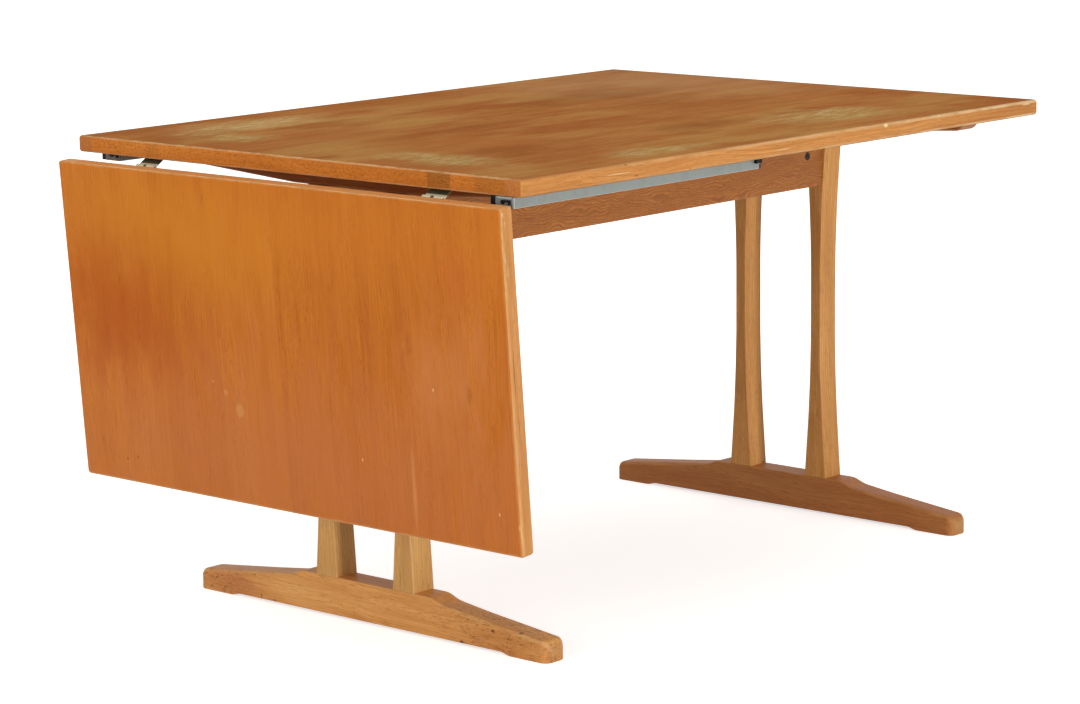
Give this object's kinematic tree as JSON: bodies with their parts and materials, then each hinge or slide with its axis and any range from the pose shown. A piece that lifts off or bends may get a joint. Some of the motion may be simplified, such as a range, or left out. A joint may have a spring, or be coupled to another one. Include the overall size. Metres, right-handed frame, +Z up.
{
  "type": "drop-leaf trestle table",
  "caption": "Trestle dining table with one hanging drop leaf on flap hinges and pull-out slides under the top that carry the raised leaf.",
  "frame": {"origin": "on the floor, under the middle of the table's outline with the leaf hanging", "axes": "+X along the length, away from the leaf's end; +Y across, to the left seen from the leaf's end; +Z up"},
  "size_m": [1.3034, 0.898, 0.72],
  "materials": {
    "board_veneer": "satin oiled veneer",
    "core_wood": "satin oiled solid wood",
    "edge_wood": "satin oiled solid wood",
    "frame_wood": "satin oiled solid wood",
    "bearer_wood": "satin oiled solid wood",
    "rail_wood": "satin oiled solid wood",
    "dark_steel": "blackened",
    "pale_brass": "dull",
    "guide_metal": "satin",
    "black_plastic": "moulded",
    "slide_steel": "satin"
  },
  "bodies": {
    "table": {"front_bearer": "bearer_wood", "front_foot": "frame_wood", "front_leg_left": "frame_wood", "front_leg_right": "frame_wood", "guide_left_block": "black_plastic", "guide_left_channel": "guide_metal", "guide_left_clip": "black_plastic", "guide_left_front_cap": "guide_metal", "guide_left_hook": "black_plastic", "guide_left_rear_cap": "black_plastic", "guide_right_block": "black_plastic", "guide_right_channel": "guide_metal", "guide_right_clip": "black_plastic", "guide_right_front_cap": "guide_metal", "guide_right_hook": "black_plastic", "guide_right_rear_cap": "black_plastic", "hinge_left_pin": "pale_brass", "hinge_left_top_plate": "pale_brass", "hinge_right_pin": "pale_brass", "hinge_right_top_plate": "pale_brass", "rail_barrel_nuts": "dark_steel", "rail_bolts": "dark_steel", "rail_left": "rail_wood", "rail_right": "rail_wood", "rear_bearer": "bearer_wood", "rear_foot": "frame_wood", "rear_leg_left": "frame_wood", "rear_leg_right": "frame_wood", "top_core": "core_wood", "top_edge_left": "edge_wood", "top_edge_right": "edge_wood", "top_face_veneer": "board_veneer", "top_under_veneer": "board_veneer"},
    "leaf": {"leaf_core": "core_wood", "leaf_edge_left": "edge_wood", "leaf_edge_right": "edge_wood", "leaf_face_veneer": "board_veneer", "leaf_under_veneer": "board_veneer", "hinge_left_leaf_plate": "pale_brass", "hinge_right_leaf_plate": "pale_brass"},
    "slide_left": {"slide_left_bar": "slide_steel", "slide_left_stop_pin": "slide_steel"},
    "slide_right": {"slide_right_bar": "slide_steel", "slide_right_stop_pin": "slide_steel"}
  },
  "joints": [
    {"name": "leaf_hinge", "type": "hinge", "parent": "table", "child": "leaf", "pos_m": [-0.61462, 0, 0.683], "axis": [0, 1, 0], "range_deg": [0, 94.4]},
    {"name": "slide_left_pull", "type": "slide", "parent": "table", "child": "slide_left", "axis": [-1, 0, 0], "range_m": [0, 0.4]},
    {"name": "slide_right_pull", "type": "slide", "parent": "table", "child": "slide_right", "axis": [-1, 0, 0], "range_m": [0, 0.4]}
  ]
}
